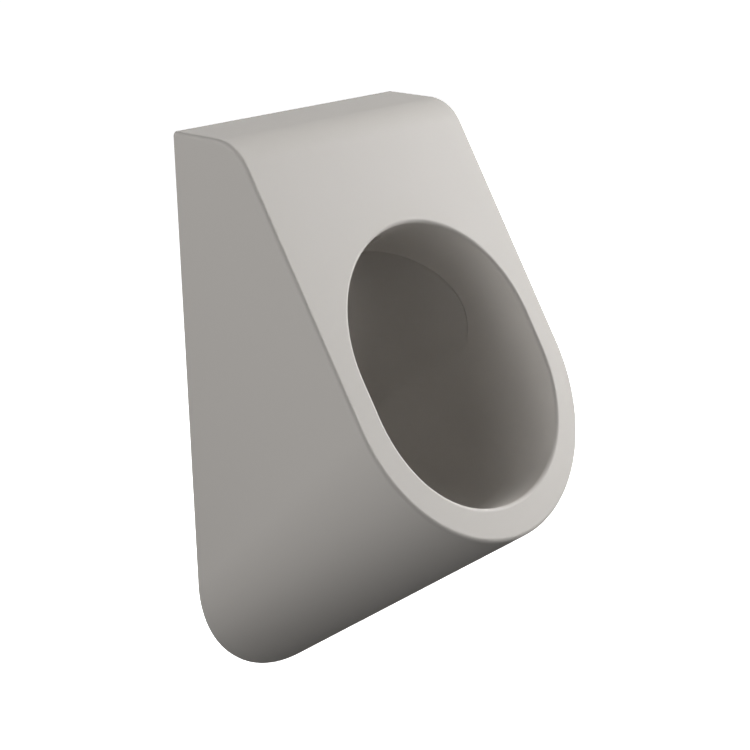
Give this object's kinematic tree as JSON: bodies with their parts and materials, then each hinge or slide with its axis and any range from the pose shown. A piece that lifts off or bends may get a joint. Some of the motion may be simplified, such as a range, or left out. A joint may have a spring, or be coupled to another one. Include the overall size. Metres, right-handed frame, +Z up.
{
  "type": "wall hung urinal",
  "caption": "Wall hung urinal of fired ceramic with an inclined front, spray nozzle, hidden trap with lift-out dip tube, strainer and wall hooks",
  "frame": {"origin": "on the wall face, midway between the two hanger bolts", "axes": "+Z up, +Y into the wall, +X to the right of someone who faces the urinal"},
  "size_m": [0.3, 0.3554, 0.605],
  "materials": {
    "ceramic": "matte warm light grey glaze",
    "chromed_brass": "polished",
    "grey_rubber": "moulded",
    "black_rubber": "moulded",
    "white_plastic": "moulded polypropylene",
    "brass": "turned",
    "zinc_steel": "zinc plated"
  },
  "bodies": {
    "urinal": {"ceramic_body": "ceramic", "waste_flange": "chromed_brass", "flange_gasket": "grey_rubber", "trap_seal": "grey_rubber", "trap_body": "white_plastic", "trap_cup": "white_plastic", "cup_seal": "black_rubber", "outlet_pipe": "white_plastic", "outlet_seal": "black_rubber", "outlet_nut": "white_plastic", "spray_nozzle": "chromed_brass", "nozzle_seal": "grey_rubber", "nozzle_nut": "brass", "inlet_elbow": "white_plastic", "elbow_seal": "black_rubber", "elbow_nut": "white_plastic", "inlet_tail": "brass", "tail_seal": "black_rubber", "inlet_nut": "white_plastic", "hook_left": "zinc_steel", "hook_right": "zinc_steel", "hook_pads": "black_rubber", "hanger_bolts": "zinc_steel", "bolt_washers": "zinc_steel", "bolt_nuts": "zinc_steel"},
    "dip_tube": {"trap_insert": "white_plastic", "insert_seal": "black_rubber"},
    "strainer": {"drain_strainer": "chromed_brass"}
  },
  "joints": [
    {"name": "dip_tube_lift", "type": "slide", "parent": "urinal", "child": "dip_tube", "axis": [0, 0, 1], "range_m": [0, 0.118]},
    {"name": "strainer_lift", "type": "slide", "parent": "dip_tube", "child": "strainer", "axis": [0, 0, 1], "range_m": [0, 0.018]}
  ]
}
